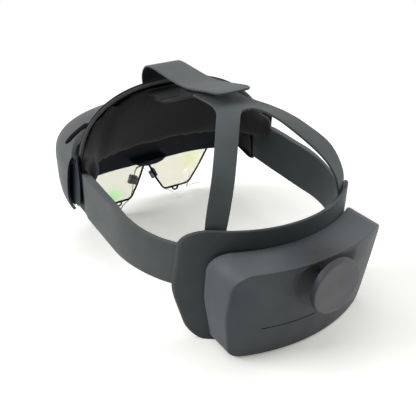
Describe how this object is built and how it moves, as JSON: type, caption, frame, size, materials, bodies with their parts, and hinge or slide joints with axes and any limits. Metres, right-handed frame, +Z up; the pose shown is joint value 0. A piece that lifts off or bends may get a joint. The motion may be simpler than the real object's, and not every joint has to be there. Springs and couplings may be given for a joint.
{
  "type": "head-mounted display",
  "caption": "See-through head-worn display with a flip-up visor, padded brow, overhead strap and a rear pod whose dial fits it to the head.",
  "frame": {"origin": "bottom centre of the bounding box, on the surface the headset rests on", "axes": "+X towards the wearer's left, +Y towards the back of the head, +Z up; lenses face -Y"},
  "size_m": [0.2, 0.291, 0.1565],
  "materials": {
    "shell": "soft-touch matte dark grey",
    "band": "soft-touch matte dark grey",
    "strap": "matte coated strap",
    "pod": "soft-touch matte blue grey",
    "cushion": "soft matte cushion skin",
    "brow_cushion": "soft woven dark cover over foam",
    "dark_frame": "fine matte",
    "optics_housing": "satin blue black",
    "window": "smoked gloss",
    "clear": "clear polished",
    "lens": "clear with a faint green and yellow tint",
    "lens_rim": "black satin",
    "tracker": "grey moulded",
    "engine": "matte",
    "camera": "black gloss",
    "board": "solder mask",
    "metal": "brushed",
    "spreader": "satin",
    "black_plastic": "satin black",
    "dial": "satin purple grey",
    "rack": "natural acetal",
    "bush": "turned",
    "cell": "matte foil pouch"
  },
  "bodies": {
    "headband": {"brow_frame": "dark_frame", "brow_pad": "brow_cushion", "pad_magnets": "metal", "left_hinge_plate": "dark_frame", "right_hinge_plate": "dark_frame", "left_hinge_pin": "black_plastic", "right_hinge_pin": "black_plastic", "left_arm": "band", "right_arm": "band", "left_speaker": "black_plastic", "right_speaker": "black_plastic", "strap_flap": "strap"},
    "visor_unit": {"front_shell": "shell", "inner_housing": "optics_housing", "sensor_window": "window", "clear_visor": "clear", "left_lens": "lens", "right_lens": "lens", "left_lens_frame": "lens_rim", "right_lens_frame": "lens_rim", "left_eye_tracker": "tracker", "right_eye_tracker": "tracker", "left_display_engine": "engine", "right_display_engine": "engine", "sensor_bar": "spreader", "tracking_cameras": "camera", "depth_camera": "camera", "colour_camera": "camera", "main_board": "board", "heat_spreader": "spreader", "microphones": "black_plastic", "left_hinge_arm": "optics_housing", "right_hinge_arm": "optics_housing", "visor_screws": "black_plastic"},
    "brightness_rocker": {"brightness_rocker": "black_plastic"},
    "volume_rocker": {"volume_rocker": "black_plastic"},
    "rear_pod": {"rear_cover": "pod", "rear_inner_plate": "dark_frame", "pod_mount_plate": "dark_frame", "rear_pad_base": "band", "rear_pad": "cushion", "left_band": "band", "right_band": "band", "overhead_strap": "strap", "left_battery": "cell", "right_battery": "cell", "rear_board": "board", "dial_bush": "bush", "rack_guide": "dark_frame", "usb_port": "metal", "status_light": "black_plastic", "rear_screws": "metal"},
    "dial": {"dial": "dial", "dial_shaft": "metal", "pinion": "rack"},
    "left_rack": {"left_rack": "rack"},
    "right_rack": {"right_rack": "rack"},
    "power_button": {"power_button": "black_plastic"}
  },
  "joints": [
    {"name": "visor_flip", "type": "hinge", "parent": "headband", "child": "visor_unit", "pos_m": [0, -0.0466, 0.10015], "axis": [-1, 0, 0], "range_deg": [0, 75]},
    {"name": "brightness_rock", "type": "hinge", "parent": "visor_unit", "child": "brightness_rocker", "pos_m": [0.07883, -0.07742, 0.10686], "axis": [0.4456, -0.8822, -0.1522], "range_deg": [-3, 3], "stiffness_Nm_per_rad": 0.3},
    {"name": "volume_rock", "type": "hinge", "parent": "visor_unit", "child": "volume_rocker", "pos_m": [-0.07883, -0.07742, 0.10686], "axis": [0.4456, 0.8822, 0.1522], "range_deg": [-3, 3], "stiffness_Nm_per_rad": 0.3},
    {"name": "fit_slide", "type": "slide", "parent": "headband", "child": "rear_pod", "axis": [0, 0.999, -0.044], "range_m": [0, 0.03]},
    {"name": "dial_turn", "type": "hinge", "parent": "rear_pod", "child": "dial", "pos_m": [0, 0.14463, 0.0557], "axis": [0, 0.999, -0.044], "range_deg": [-286.5, 0]},
    {"name": "left_rack_slide", "type": "slide", "parent": "rear_pod", "child": "left_rack", "axis": [1, 0, 0], "range_m": [0, 0.03]},
    {"name": "right_rack_slide", "type": "slide", "parent": "rear_pod", "child": "right_rack", "axis": [-1, 0, 0], "range_m": [0, 0.03]},
    {"name": "power_press", "type": "slide", "parent": "rear_pod", "child": "power_button", "axis": [0, 0.044, 0.999], "range_m": [0, 0.0006], "stiffness_N_per_m": 2000}
  ],
  "couplings": [
    {"joint": "dial_turn", "follows": "fit_slide", "rad_per_m": -166.67},
    {"joint": "left_rack_slide", "follows": "fit_slide", "ratio": 1},
    {"joint": "right_rack_slide", "follows": "fit_slide", "ratio": 1}
  ]
}
